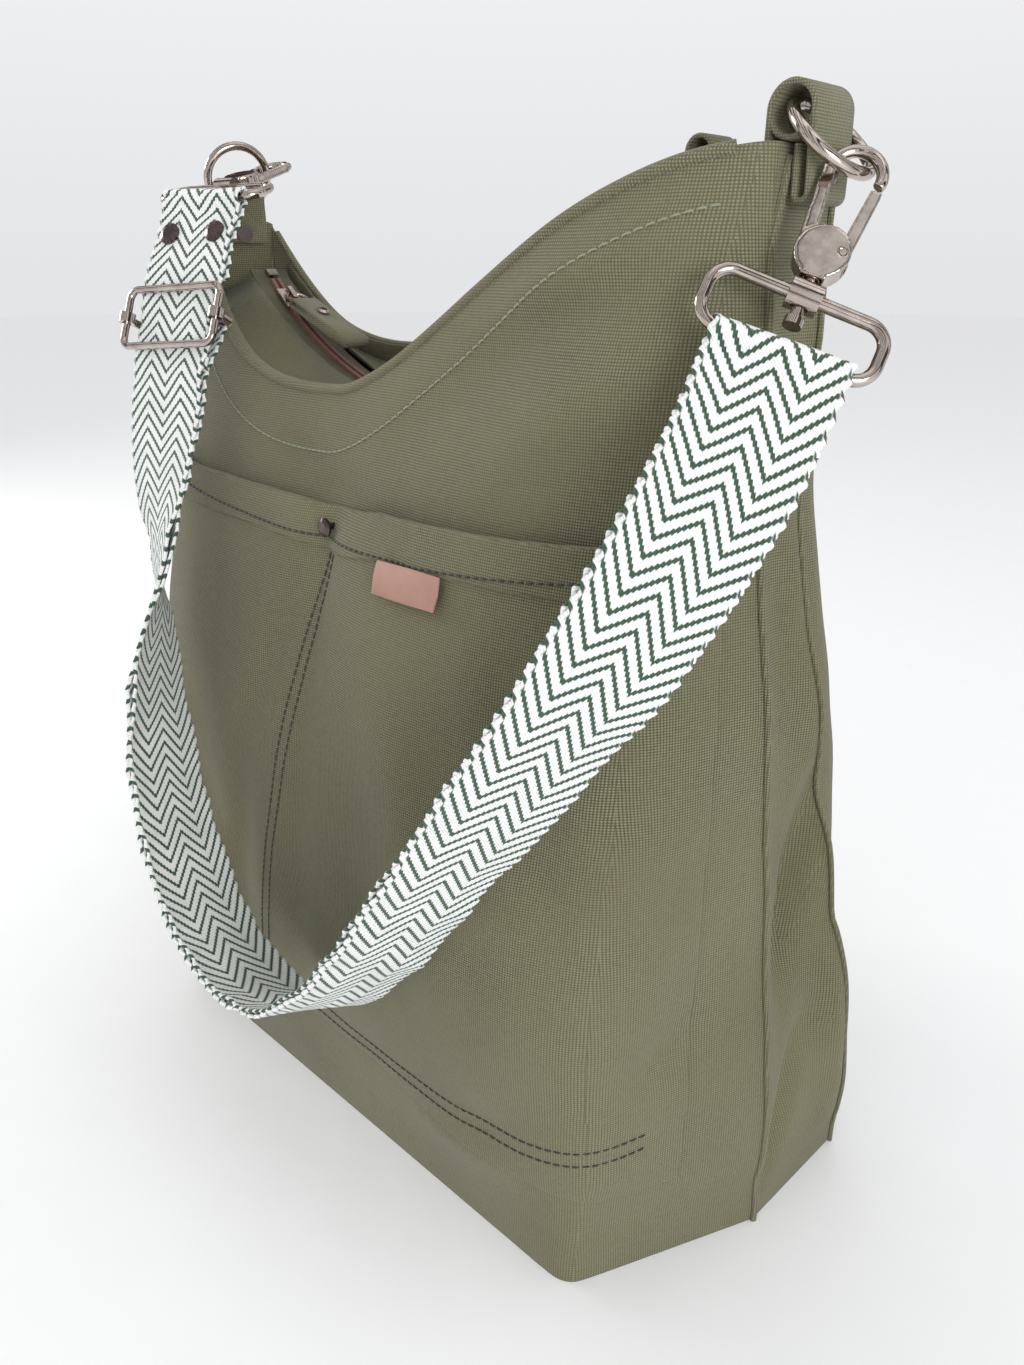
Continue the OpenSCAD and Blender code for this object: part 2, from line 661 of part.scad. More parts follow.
function ease(x) = let (c = clamp(x, 0, 1)) c * c * (3 - 2 * c);
// Offset of the outer run from the middle line: round the bars, and over the slider's bar
function outer_off(k) =
    let (d = dist(k), e = dist(1 - k))
    max(mix(bar_r, flat_off, ease(d / 14)), mix(bar_r, flat_off, ease(e / 14)),
        mix(flat_off, over_bar, ease((30 - max(0, abs(d - slider_at) - 20)) / 14)
            * (abs(d - slider_at) < 36 ? 1 - ease((abs(d - slider_at) - 26) / 10) : 0)));
function inner_off(k) =
    let (d = dist(k), e = dist(1 - k))
    max(mix(bar_r, flat_off, ease(e / 14)), mix(bar_depth + wrap_r, flat_off, ease((d - slider_at - 2) / 16)));
// A frame is [point, width direction, thickness direction]
function outer_frame(k) = [route_pt(k) + outer_off(k) * out_dir(k), width_dir(k), out_dir(k)];
function inner_frame(k) = [route_pt(k) - inner_off(k) * out_dir(k), width_dir(k), -out_dir(k)];
function tail_frame(k) = let (d = dist(k))
    [route_pt(k) - mix(bar_r, flat_off, ease(d / 14)) * out_dir(k), width_dir(k), -out_dir(k)];
// Half a turn round a bar, from one thickness direction to the other through along
function turn(centre, w, from, along, r, n) = [for (i = [0 : n])
    let (a = 180 * i / n, m = cos(a) * from + sin(a) * along) [centre + r * m, w, m]];

k_tail = tail_l / strap_len;
bar_left = route_pt(0);
bar_right = route_pt(1);
slider_centre = route_pt(k_slider) - bar_depth * out_dir(k_slider);
strap_frames = concat(
    [for (i = [3 : -1 : 1]) tail_frame(k_tail * i / 3)],
    turn(bar_left, width_dir(0), -out_dir(0), -route_dir(0), bar_r, 6),
    [for (i = [1 : web_n - 1]) outer_frame(i * run_step)],
    turn(bar_right, width_dir(1), out_dir(1), route_dir(1), bar_r, 6),
    [for (i = [web_n - 1 : -1 : 1]) if (i * run_step > k_slider + 0.012) inner_frame(i * run_step)],
    turn(slider_centre, width_dir(k_slider), -out_dir(k_slider), -route_dir(k_slider), wrap_r, 6),
    [for (i = [1 : 3]) let (k = k_slider + i * end_l / 3 / strap_len)
        [route_pt(k) + (wrap_r - bar_depth) * out_dir(k), width_dir(k), out_dir(k)]]);

module strap_webbing() {
    outer = [for (f = strap_frames) [for (s = [-1, 0, 1]) f[0] + s * web_w / 2 * f[1] + web_t / 2 * f[2]]];
    inner = [for (f = strap_frames) [for (s = [-1, 0, 1]) f[0] + s * web_w / 2 * f[1] - web_t / 2 * f[2]]];
    color("#e8e8e6") slab(inner, outer);
}

// Two cap rivets close the webbing's fold at the left end
rivet_at = 19;
module strap_rivets() {
    k = rivet_at / strap_len;
    f = outer_frame(k);
    for (s = [-1, 1])
        color("#4a403d") placed(f[0] + s * 11.5 * f[1] + (web_t / 2) * f[2], f[1], f[2])
            cap_rivet(9, 2.6, outer_off(k) + flat_off + web_t, 7);
}

// Slider: a flat wire frame in front of the webbing, whose sides pass through the bar's beads.
// Drawn with X across the webbing, Z out of it and Y up the strap
frame_wire = 3;
frame_half = web_w / 2 + 3.6;
frame_corner = 4;
frame_front = wrap_r + web_t + run + web_t / 2 + 2 * run + frame_wire / 2;
module at_slider_bar() {
    f = out_dir(k_slider);
    placed(slider_centre, width_dir(k_slider), f) children();
}
module slider_frame() {
    h = slider_h / 2;
    flat = frame_half - frame_corner;
    color(nickel) at_slider_bar() translate([0, 0, frame_front]) {
        for (s = [-1, 1]) {
            translate([0, s * h, 0]) rotate([0, 90, 0]) cylinder(d = frame_wire, h = 2 * flat, center = true);
            translate([s * frame_half, 0, 0]) rotate([90, 0, 0])
                cylinder(d = frame_wire, h = 2 * (h - frame_corner), center = true);
        }
        for (mx = [0, 1], my = [0, 1]) mirror([mx, 0, 0]) mirror([0, my, 0])
            translate([flat, h - frame_corner, 0])
                rotate_extrude(angle = 90) translate([frame_corner, 0]) circle(d = frame_wire);
    }
}
// The bar lies behind the outer run, and posts at its ends carry beads that slide on the frame
bead_r = 3.2;
module slider_bar() {
    color(nickel) at_slider_bar() difference() {
        union() {
            rotate([0, 90, 0]) cylinder(d = centre_bar_d, h = 2 * frame_half, center = true);
            for (m = [-1, 1]) translate([m * frame_half, 0, 0]) {
                cylinder(d = centre_bar_d, h = frame_front);
                translate([0, 0, frame_front]) rotate([90, 0, 0]) cylinder(r = bead_r, h = 4, center = true);
            }
        }
        for (m = [-1, 1]) translate([m * frame_half, 0, frame_front]) rotate([90, 0, 0])
            cylinder(r = frame_wire / 2 + run, h = 9, center = true);
    }
}

// ---------- hooks in place ----------
// Direction of each swivel and how far its hook is turned on it
hook_dir_right = [0.02, 0.59, 0.81];
hook_dir_left = [-0.34, 0.9, 0.28];
hook_turn_right = -8;
hook_turn_left = 0;
function square_up(z, x) = unit(z - (z * x) * x);
module at_loop_right() {
    z = square_up(hook_dir_right, width_dir(1));
    placed(bar_right + loop_h * z, width_dir(1), z) children();
}
module at_loop_left() {
    z = square_up(hook_dir_left, width_dir(0));
    placed(bar_left + loop_h * z, width_dir(0), z) children();
}
module at_hook_right() {
    at_loop_right() rotate([0, 0, hook_turn_right]) children();
}
module at_hook_left() {
    at_loop_left() rotate([0, 0, hook_turn_left]) children();
}
module hook_right() {
    color(nickel) at_hook_right() hook_body();
}
module gate_right() {
    color(nickel) at_hook_right() hook_gate();
}
module gate_pin_right() {
    color(nickel) at_hook_right() hook_pin();
}
module gate_spring_right() {
    color(nickel) at_hook_right() hook_spring();
}
module swivel_post_right() {
    color(nickel) at_hook_right() hook_post();
}
module ferrule_right() {
    color(nickel) at_loop_right() hook_ferrule();
}
module web_loop_right() {
    color(nickel) at_loop_right() hook_loop();
}
module hook_left() {
    color(nickel) at_hook_left() hook_body();
}
module gate_left() {
    color(nickel) at_hook_left() hook_gate();
}
module gate_pin_left() {
    color(nickel) at_hook_left() hook_pin();
}
module gate_spring_left() {
    color(nickel) at_hook_left() hook_spring();
}
module swivel_post_left() {
    color(nickel) at_hook_left() hook_post();
}
module ferrule_left() {
    color(nickel) at_loop_left() hook_ferrule();
}
module web_loop_left() {
    color(nickel) at_loop_left() hook_loop();
}

front_panel();
back_panel();
gusset_right();
gusset_left();
base_panel();
front_pocket();
label();
pocket_rivet();
front_facing();
back_facing();
zip_panel_front();
zip_panel_back();
zip_tape_front();
zip_tape_back();
zip_teeth_front();
zip_teeth_back();
zip_stops();
zip_slider();
zip_pull_ring();
zip_pull_strip();
zip_pull_rivet();
tab_right();
tab_left();
tab_rivet_right();
tab_rivet_left();
ring_right();
ring_left();
key_loop();
key_ring();
hook_right();
gate_right();
gate_pin_right();
gate_spring_right();
swivel_post_right();
ferrule_right();
web_loop_right();
hook_left();
gate_left();
gate_pin_left();
gate_spring_left();
swivel_post_left();
ferrule_left();
web_loop_left();
strap_webbing();
strap_rivets();
slider_frame();
slider_bar();
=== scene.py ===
"""Canvas hobo bag with a clip-on strap of patterned webbing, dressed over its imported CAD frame."""

import json
import math

import bmesh
import bpy
from mathutils import Matrix, Vector, noise
from mathutils.bvhtree import BVHTree


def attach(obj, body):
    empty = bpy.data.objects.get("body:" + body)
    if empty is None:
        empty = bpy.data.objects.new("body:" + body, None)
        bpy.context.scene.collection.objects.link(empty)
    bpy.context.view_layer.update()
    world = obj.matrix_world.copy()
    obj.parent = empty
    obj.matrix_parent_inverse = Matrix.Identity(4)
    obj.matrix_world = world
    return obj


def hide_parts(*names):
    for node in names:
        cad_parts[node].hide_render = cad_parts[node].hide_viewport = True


MM = 0.001
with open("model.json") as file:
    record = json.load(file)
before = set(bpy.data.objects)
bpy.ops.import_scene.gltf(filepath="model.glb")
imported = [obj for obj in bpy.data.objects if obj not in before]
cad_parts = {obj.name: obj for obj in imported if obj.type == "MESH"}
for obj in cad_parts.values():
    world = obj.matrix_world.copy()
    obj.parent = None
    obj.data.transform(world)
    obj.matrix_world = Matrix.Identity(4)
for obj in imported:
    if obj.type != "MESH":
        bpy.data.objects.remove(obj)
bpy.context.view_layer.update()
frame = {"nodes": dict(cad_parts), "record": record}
nodes = frame["nodes"]
body_of_node = {n: b for b, names in frame["record"]["behaviour"]["bodies"].items() for n in names}


# ---------- camera, light and floor ----------
def look(name, data, place, turn):
    """A camera or a light in its place, turned by degrees."""
    thing = bpy.data.objects.new(name, data)
    bpy.context.scene.collection.objects.link(thing)
    thing.location = place
    thing.rotation_euler = [math.radians(a) for a in turn]
    return thing


lens = bpy.data.cameras.new("camera")
lens.lens = 27.03
lens.sensor_width = 36
bpy.context.scene.camera = look("camera", lens, (0.303, -0.283, 0.350), (68, 0, 44))


def softbox(name, place, target, size, power, tint):
    """A large square lamp that points at a target."""
    lamp = bpy.data.lights.new(name, "AREA")
    lamp.shape = "SQUARE"
    lamp.size = size
    lamp.energy = power
    lamp.color = tint
    aim = (Vector(target) - Vector(place)).to_track_quat("-Z", "Y").to_euler()
    return look(name, lamp, place, [math.degrees(a) for a in aim])


softbox("window_left", (-1.5, -0.5, 0.9), (0, 0, 0.25), 0.5, 9, (1.0, 0.99, 0.97))
softbox("ceiling", (0.3, 0.2, 2.2), (0, 0, 0.1), 1.8, 5, (1.0, 1.0, 1.0))
softbox("window_right", (1.5, -0.7, 0.5), (0.1, 0, 0.2), 0.7, 13, (0.97, 0.98, 1.0))


# ---------- materials ----------
def rgb(code):
    """sRGB hex to linear colour."""
    parts = [int(code[i : i + 2], 16) / 255 for i in (1, 3, 5)]
    return [c / 12.92 if c <= 0.04045 else ((c + 0.055) / 1.055) ** 2.4 for c in parts] + [1.0]


def node(tree, kind, inputs=(), **settings):
    """Adds one node, sets its properties and fills its inputs with values or links."""
    made = tree.nodes.new(kind)
    for name, value in settings.items():
        setattr(made, name, value)
    for key, value in dict(inputs).items():
        if isinstance(value, bpy.types.NodeSocket):
            tree.links.new(value, made.inputs[key])
        else:
            made.inputs[key].default_value = value
    return made


def new_material(name):
    made = bpy.data.materials.new(name)
    made.use_nodes = True
    made.node_tree.nodes.clear()
    return made, made.node_tree


def maths(tree, operation, a, b=0.0, c=0.0):
    return node(tree, "ShaderNodeMath", {0: a, 1: b, 2: c}, operation=operation).outputs[0]


def blend_colour(tree, amount, a, b, mode="MIX"):
    made = node(tree, "ShaderNodeMix", {0: amount, 6: a, 7: b}, data_type="RGBA", blend_type=mode)
    return made.outputs[2]


def ramp(tree, value, low, high):
    """Maps low to 0 and high to 1."""
    return node(tree, "ShaderNodeMapRange", {0: value, 1: low, 2: high}, clamp=True).outputs[0]


def close(tree, shader):
    node(tree, "ShaderNodeOutputMaterial", {0: shader.outputs[0]})


def canvas(name, ground, light, pitch=0.9):
    """Washed cotton canvas, plain weave: light thread crowns on a darker ground, blotchy from washing."""
    made, tree = new_material(name)
    uv = node(tree, "ShaderNodeUVMap", uv_map="weave").outputs[0]
    place = node(tree, "ShaderNodeTexCoord").outputs["Object"]
    split = node(tree, "ShaderNodeSeparateXYZ", {0: uv})
    turns = 2 * math.pi / (2 * pitch * MM)
    waver = node(tree, "ShaderNodeTexNoise", {"Vector": place, "Scale": 90.0, "Detail": 2.0}).outputs[0]
    across = maths(tree, "MULTIPLY_ADD", waver, 1.6, maths(tree, "MULTIPLY", split.outputs[0], turns))
    along = maths(tree, "MULTIPLY_ADD", waver, 1.3, maths(tree, "MULTIPLY", split.outputs[1], turns))
    crowns = maths(tree, "MULTIPLY", maths(tree, "SINE", across), maths(tree, "SINE", along))
    knots = maths(tree, "ABSOLUTE", crowns)
    slub = node(tree, "ShaderNodeTexNoise", {"Vector": place, "Scale": 650.0, "Detail": 3.0}).outputs[0]
    blotch = node(tree, "ShaderNodeTexNoise", {"Vector": place, "Scale": 22.0, "Detail": 5.0,
                                               "Roughness": 0.62}).outputs[0]
    wash = node(tree, "ShaderNodeTexNoise", {"Vector": place, "Scale": 7.0, "Detail": 3.0}).outputs[0]
    crown = ramp(tree, maths(tree, "MULTIPLY", knots, maths(tree, "ADD", slub, 0.5)), 0.15, 0.85)
    base = blend_colour(tree, crown, rgb(ground), rgb(light))
    warm = blend_colour(tree, ramp(tree, blotch, 0.38, 0.66), base, rgb("#6a6549"), "MIX")
    colour = blend_colour(tree, 0.42, base, warm)
    faded = maths(tree, "MULTIPLY", ramp(tree, wash, 0.42, 0.72), 0.22)
    pale = blend_colour(tree, faded, colour, rgb("#8d8a70"))
    height = maths(tree, "ADD", maths(tree, "MULTIPLY", knots, 0.8), maths(tree, "MULTIPLY", slub, 0.6))
    bump = node(tree, "ShaderNodeBump", {"Height": height, "Strength": 0.55, "Distance": 0.0004})
    shader = node(tree, "ShaderNodeBsdfPrincipled", {
        "Base Color": pale, "Roughness": 0.88, "IOR": 1.45, "Specular IOR Level": 0.25,
        "Sheen Weight": 0.12, "Sheen Roughness": 0.5, "Normal": bump.outputs[0]})
    close(tree, shader)
    return made


def metal(name, tint, rough, wear):
    """Electroplated zinc: mirror plating with faint handling haze."""
    made, tree = new_material(name)
    place = node(tree, "ShaderNodeTexCoord").outputs["Object"]
    haze = node(tree, "ShaderNodeTexNoise", {"Vector": place, "Scale": 260.0, "Detail": 4.0}).outputs[0]
    pits = node(tree, "ShaderNodeTexNoise", {"Vector": place, "Scale": 1400.0, "Detail": 2.0}).outputs[0]
    tone = blend_colour(tree, ramp(tree, haze, 0.35, 0.75), rgb(tint), rgb(wear))
    skin = maths(tree, "ADD", haze, maths(tree, "MULTIPLY", pits, 0.3))
    bump = node(tree, "ShaderNodeBump", {"Height": skin, "Strength": 0.06, "Distance": 0.0003})
    roughness = maths(tree, "MULTIPLY_ADD", haze, 0.12, rough)
    shader = node(tree, "ShaderNodeBsdfPrincipled", {
        "Base Color": tone, "Metallic": 1.0, "Roughness": roughness, "Normal": bump.outputs[0]})
    close(tree, shader)
    return made


def thread(name, tint):
    """Spun polyester sewing thread: fine diagonal twist."""
    made, tree = new_material(name)
    place = node(tree, "ShaderNodeTexCoord").outputs["Object"]
    twist = node(tree, "ShaderNodeTexWave", {"Vector": place, "Scale": 900.0, "Distortion": 3.0},
                 bands_direction="DIAGONAL").outputs["Fac"]
    bump = node(tree, "ShaderNodeBump", {"Height": twist, "Strength": 0.4, "Distance": 0.0002})
    colour = blend_colour(tree, twist, rgb(tint), [c * 0.7 for c in rgb(tint)[:3]] + [1.0])
    shader = node(tree, "ShaderNodeBsdfPrincipled", {
        "Base Color": colour, "Roughness": 0.6, "Sheen Weight": 0.2, "Normal": bump.outputs[0]})
    close(tree, shader)
    return made


def webbing():
    """Jacquard cotton webbing: raised white twill with dark green zigzag lines and laced edges."""
    made, tree = new_material("jacquard_webbing")
    uv = node(tree, "ShaderNodeUVMap", uv_map="weave").outputs[0]
    split = node(tree, "ShaderNodeSeparateXYZ", {0: uv})
    along, across = split.outputs[0], split.outputs[1]
    pitch, half_wave = 5.4 * MM, 9.0 * MM
    # Two zigzags lie across the width, each arm rising at about 45 degrees
    zig = maths(tree, "PINGPONG", maths(tree, "ABSOLUTE", across), half_wave)
    phase = maths(tree, "DIVIDE", maths(tree, "MULTIPLY_ADD", zig, 1.15, along), pitch)
    yarns = maths(tree, "SINE", maths(tree, "MULTIPLY", across, 2 * math.pi / (1.1 * MM)))
    steps = maths(tree, "MULTIPLY", yarns, 0.055)
    cycle = maths(tree, "FRACT", maths(tree, "ADD", phase, steps))
    from_line = maths(tree, "ABSOLUTE", maths(tree, "SUBTRACT", cycle, 0.5))
    line = maths(tree, "SUBTRACT", 1.0, ramp(tree, from_line, 0.13, 0.19))
    inside = ramp(tree, maths(tree, "ABSOLUTE", across), 18.4 * MM, 17.8 * MM)
    edge = maths(tree, "SUBTRACT", 1.0, inside)
    # Green lacing that winds round the selvage once for each scallop
    wind = maths(tree, "SINE", maths(tree, "MULTIPLY_ADD", along, 2 * math.pi / pitch,
                                     maths(tree, "MULTIPLY", across, 900.0)))
    lace = maths(tree, "MULTIPLY", edge, ramp(tree, wind, 0.35, 0.6))
    green = maths(tree, "MAXIMUM", maths(tree, "MULTIPLY", line, inside), lace)
    rib = maths(tree, "SINE", maths(tree, "MULTIPLY", maths(tree, "MULTIPLY_ADD", across, 0.8, along),
                                    2 * math.pi / (1.0 * MM)))
    place = node(tree, "ShaderNodeTexCoord").outputs["Object"]
    fuzz = node(tree, "ShaderNodeTexNoise", {"Vector": place, "Scale": 1500.0, "Detail": 3.0}).outputs[0]
    soil = node(tree, "ShaderNodeTexNoise", {"Vector": place, "Scale": 60.0, "Detail": 3.0}).outputs[0]
    white = blend_colour(tree, ramp(tree, soil, 0.3, 0.8), rgb("#f3f4f3"), rgb("#e2e5e2"))
    # The white is greyed in the troughs of the twill ribs: painted shade in the grooves.
    white_with_groove_shade = blend_colour(tree, maths(tree, "MULTIPLY", ramp(tree, rib, 0.2, -0.9), 0.35), white, rgb("#a9aeaa"))
    colour = blend_colour(tree, green, white_with_groove_shade, blend_colour(tree, fuzz, rgb("#22392a"), rgb("#3f6044")))
    height = maths(tree, "ADD", maths(tree, "MULTIPLY", maths(tree, "SUBTRACT", 1.0, green), 1.0),
                   maths(tree, "MULTIPLY_ADD", rib, 0.22, maths(tree, "MULTIPLY", fuzz, 0.3)))
    bump = node(tree, "ShaderNodeBump", {"Height": height, "Strength": 0.75, "Distance": 0.0006})
    shader = node(tree, "ShaderNodeBsdfPrincipled", {
        "Base Color": colour, "Roughness": 0.8, "Sheen Weight": 0.2, "Normal": bump.outputs[0]})
    close(tree, shader)
    return made


def leather():
    """Printed microfibre label: soft matt dusty rose."""
    made, tree = new_material("label_microfibre")
    place = node(tree, "ShaderNodeTexCoord").outputs["Object"]
    pores = node(tree, "ShaderNodeTexVoronoi", {"Vector": place, "Scale": 2200.0}).outputs[0]
    cloud = node(tree, "ShaderNodeTexNoise", {"Vector": place, "Scale": 120.0, "Detail": 3.0}).outputs[0]
    bump = node(tree, "ShaderNodeBump", {"Height": pores, "Strength": 0.25, "Distance": 0.0002})
    shader = node(tree, "ShaderNodeBsdfPrincipled", {
        "Base Color": blend_colour(tree, cloud, rgb("#9a7263"), rgb("#b48d7c")), "Roughness": 0.62,
        "Normal": bump.outputs[0]})
    close(tree, shader)
    return made


def paper_floor():
    """Matt white studio paper with a barely visible tooth."""
    made, tree = new_material("studio_paper")
    place = node(tree, "ShaderNodeTexCoord").outputs["Object"]
    tooth = node(tree, "ShaderNodeTexNoise", {"Vector": place, "Scale": 40.0, "Detail": 4.0}).outputs[0]
    shader = node(tree, "ShaderNodeBsdfPrincipled", {
        "Base Color": blend_colour(tree, tooth, rgb("#ebecec"), rgb("#efeff0")), "Roughness": 0.9,
        "Specular IOR Level": 0.1})
    close(tree, shader)
    return made


OUTSIDE = canvas("washed_canvas", "#484a33", "#85816a")
# A darker copy of the outer canvas for the facings and zip panels inside the mouth: painted shade.
SHADED_INNER_CANVAS = canvas("canvas_inner_painted_shade", "#3e402d", "#6c6a54")
TRIM = canvas("canvas_trim", "#4b4d38", "#8a8872", 0.8)
TAPE = canvas("zip_tape_weave", "#37362b", "#5b5747", 0.5)
NICKEL = metal("nickel_plate", "#c3b8b0", 0.07, "#a99c94")
# A darker copy of the nickel plating. On the tab rivets, whose inner caps sit in the shaded mouth, this
# darkness is painted shade.
DARKER_NICKEL_AND_SHADE = metal("darker_nickel_and_painted_shade", "#6b5f5b", 0.16, "#54494a")
COPPERY = metal("antiqued_key_ring", "#8a6552", 0.3, "#6f4d40")
COIL = thread("zip_coil_nylon", "#7a4a3c")
OLIVE_THREAD = thread("olive_thread", "#33372a")
PALE_THREAD = thread("pale_thread", "#8f957c")
WEBBING = webbing()
LABEL = leather()


# ---------- mesh helpers ----------
def piece(name, bm, material, body, smooth=True):
    """Makes an object from a bmesh, gives it its finish and lets it ride on a body."""
    mesh = bpy.data.meshes.new(name)
    bm.to_mesh(mesh)
    bm.free()
    made = bpy.data.objects.new(name, mesh)
    bpy.context.scene.collection.objects.link(made)
    mesh.materials.append(material)
    for face in mesh.polygons:
        face.use_smooth = smooth
    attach(made, body)
    return made


def copy_of(*names):
    """A merged copy of CAD nodes, with its flat triangles joined back to quads."""
    bm = bmesh.new()
    for name in names:
        bm.from_mesh(nodes[name].data)
    bmesh.ops.remove_doubles(bm, verts=bm.verts, dist=1e-6)
    bmesh.ops.join_triangles(bm, faces=bm.faces, angle_face_threshold=0.7, angle_shape_threshold=1.2)
    bmesh.ops.recalc_face_normals(bm, faces=bm.faces)
    return bm


def subdivided(bm, levels, sharp=1.0):
    """Rounds a mesh by subdivision while its sharp edges keep most of their edge."""
    layer = bm.edges.layers.float.new("crease_edge")
    for edge in bm.edges:
        if len(edge.link_faces) == 2 and edge.calc_face_angle(0) > sharp:
            edge[layer] = 0.75
    mesh = bpy.data.meshes.new("cage")
    bm.to_mesh(mesh)
    bm.free()
    cage = bpy.data.objects.new("cage", mesh)
    bpy.context.scene.collection.objects.link(cage)
    rounding = cage.modifiers.new("rounding", "SUBSURF")
    rounding.levels = rounding.render_levels = levels
    made = bmesh.new()
    made.from_object(cage, bpy.context.evaluated_depsgraph_get())
    bpy.data.objects.remove(cage)
    return made


def bump_near(p, a, b, width):
    """1 on the line from a to b, falling to 0 beyond its width; fades towards both ends."""
    a, b = Vector(a), Vector(b)
    run = b - a
    t = max(0.0, min(1.0, (p - a).dot(run) / run.length_squared))
    far = (p - a - run * t).length / width
    return math.exp(-far * far * 2.2) * math.sin(math.pi * (0.12 + 0.76 * t))


# Folds of the canvas: from, to, half width and height in millimetres, outwards positive
FOLDS = [
    ((-60, -55, 290), (40, -70, 262), 11, -2.6),
    ((-20, -60, 296), (70, -66, 285), 9, 2.2),
    ((20, -60, 300), (110, -50, 345), 13, -2.2),
    ((60, -52, 335), (125, -32, 360), 10, 2.0),
    ((70, -66, 292), (128, -52, 330), 14, 2.4),
    ((-5, -75, 262), (-45, -88, 170), 10, -1.6),
    ((-45, -88, 170), (-60, -88, 60), 12, -1.2),
    ((40, -86, 220), (70, -92, 120), 20, 1.6),
    ((100, -80, 235), (125, -86, 140), 14, -1.6),
    ((95, -80, 60), (150, -40, 105), 13, -2.4),
    ((60, -84, 35), (140, -60, 50), 12, 2.0),
    ((-110, -80, 200), (-80, -88, 90), 16, 1.6),
    ((-120, -75, 60), (-40, -84, 30), 12, 2.0),
    ((150, 10, 60), (158, 30, 200), 9, -3.4),
    ((158, 30, 200), (150, 8, 320), 8, -3.0),
    ((168, 0, 15), (156, 32, 78), 8, -2.6),
    ((170, 45, 20), (162, 40, 110), 8, 2.6),
    ((-165, 20, 20), (-155, 28, 200), 9, -3.4),
    ((-155, 28, 200), (-147, 6, 320), 8, -3.0),
    ((-90, 80, 60), (20, 86, 120), 16, 2.2),
    ((60, 82, 60), (-20, 70, 200), 16, -2.2),
    ((-60, 50, 300), (60, 60, 240), 14, 2.2),
    ((90, 45, 330), (20, 62, 250), 13, -2.2),
]


def sag(p):
    """How far a point of the canvas is moved: large folds and a fine unevenness, level at the floor."""
    x, y, z = p
    out = Vector(((x / 0.165) ** 5, (abs(y) / 0.075) ** 3 * (1 if y > 0 else -1), 0))
    out = out.normalized() if out.length > 1e-6 else Vector((0, 0, 0))
    q = p * 1000
    lift = sum(2.6 * height * bump_near(q, a, b, width * 1.2) for a, b, width, height in FOLDS)
    lift += 3.0 * noise.noise(p * 12) + 0.8 * noise.noise(p * 40 + Vector((3, 1, 7)))
    depth = max(0.0, min(1.0, (math.hypot(x / 0.16, y / 0.075) - 0.25) / 0.5))
    low = max(0.0, min(1.0, z / 0.02))
    return out * (lift * MM * depth * low)


def weave_uv(bm):
    """A flat map in metres, seen from the front, the side or the top, whichever faces it best."""
    layer = bm.loops.layers.uv.get("weave") or bm.loops.layers.uv.new("weave")
    for face in bm.faces:
        n = face.normal
        side = max(range(3), key=lambda i: abs(n[i]))
        for loop in face.loops:
            p = loop.vert.co
            loop[layer].uv = [(p.y, p.z), (p.x, p.z), (p.x, p.y)][side]


def cloth(node_name, material, levels=3, moved=True, sharp=1.0):
    """The sewn version of a CAD canvas node: rounded, sagged and mapped for its weave."""
    bm = subdivided(copy_of(node_name), levels, sharp)
    if moved:
        for v in bm.verts:
            v.co += sag(v.co.copy())
    bmesh.ops.recalc_face_normals(bm, faces=bm.faces)
    weave_uv(bm)
    made = piece(node_name + "_cloth", bm, material, body_of_node[node_name])
    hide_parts(node_name)
    return made


def sweep(bm, frames, outline, closed=True, caps=True):
    """Extrudes an outline of (across, up) points along frames of (point, across, up)."""
    first = frames[0]
    ring = [bm.verts.new(first[0] + first[1] * u + first[2] * w) for u, w in outline]
    pairs = list(zip(ring, ring[1:] + ring[:1])) if closed else list(zip(ring, ring[1:]))
    edges = [bm.edges.new(pair) for pair in pairs]
    if caps and closed:
        bm.faces.new(ring[::-1])
    last = ring
    for before, after in zip(frames, frames[1:]):
        grown = bmesh.ops.extrude_edge_only(bm, edges=edges)["geom"]
        last = [g for g in grown if isinstance(g, bmesh.types.BMVert)]
        edges = [g for g in grown if isinstance(g, bmesh.types.BMEdge)]
        bmesh.ops.transform(bm, matrix=frame_matrix(after) @ frame_matrix(before).inverted(), verts=last)
    if caps and closed:
        bmesh.ops.contextual_create(bm, geom=edges)
    return bm


def frame_matrix(f):
    """The matrix whose columns are a frame's across, up, along and point."""
    along = f[1].cross(f[2])
    made = Matrix((f[1], f[2], along)).transposed().to_4x4()
    made.translation = f[0]
    return made


def path_frames(points, up):
    """Frames along a path, each squared up to the path and to its own up direction."""
    frames = []
    for i, p in enumerate(points):
        run = (points[min(i + 1, len(points) - 1)] - points[max(i - 1, 0)]).normalized()
        out = up[i] if isinstance(up, list) else up
        out = (out - run * out.dot(run)).normalized()
        frames.append((p, out.cross(run), out))
    return frames


def even(points, step):
    """Points a step apart along a path."""
    spaced, left = [points[0].copy()], step
    for a, b in zip(points, points[1:]):
        length = (b - a).length
        while length >= left and length > 0:
            a = a + (b - a) * (left / length)
            spaced.append(a.copy())
            length, left = (b - a).length, step
        left -= length
    return spaced


def round_outline(width, height, n=8):
    """An oval of n corners, as (across, up) points."""
    turns = [2 * math.pi * i / n for i in range(n)]
    return [(width / 2 * math.cos(t), height / 2 * math.sin(t)) for t in turns]


def stitch_row(name, points, ups, material, body, length=2.6, gap=0.9, thick=0.75):
    """A row of sewn stitches, each a small bowed bead of thread that dips at both ends."""
    bm = bmesh.new()
    spaced = even(points, (length + gap) * MM)
    last_up, last_stitch = len(ups) - 1, max(1, len(spaced) - 2)
    # How far along the pitch, and how high in millimetres, the thread is
    bow = [(0.0, -0.25), (0.1, 0.25), (0.38, 0.42), (0.66, 0.25), (0.76, -0.25)]
    for k, (a, b) in enumerate(zip(spaced, spaced[1:])):
        up = ups[min(last_up, round(k * last_up / last_stitch))]
        run = b - a
        frames = path_frames([a + run * t + up * (lift * MM) for t, lift in bow], up)
        sweep(bm, frames, round_outline(thick * MM, thick * 0.7 * MM, 6))
    bmesh.ops.recalc_face_normals(bm, faces=bm.faces)
    return piece(name, bm, material, body)


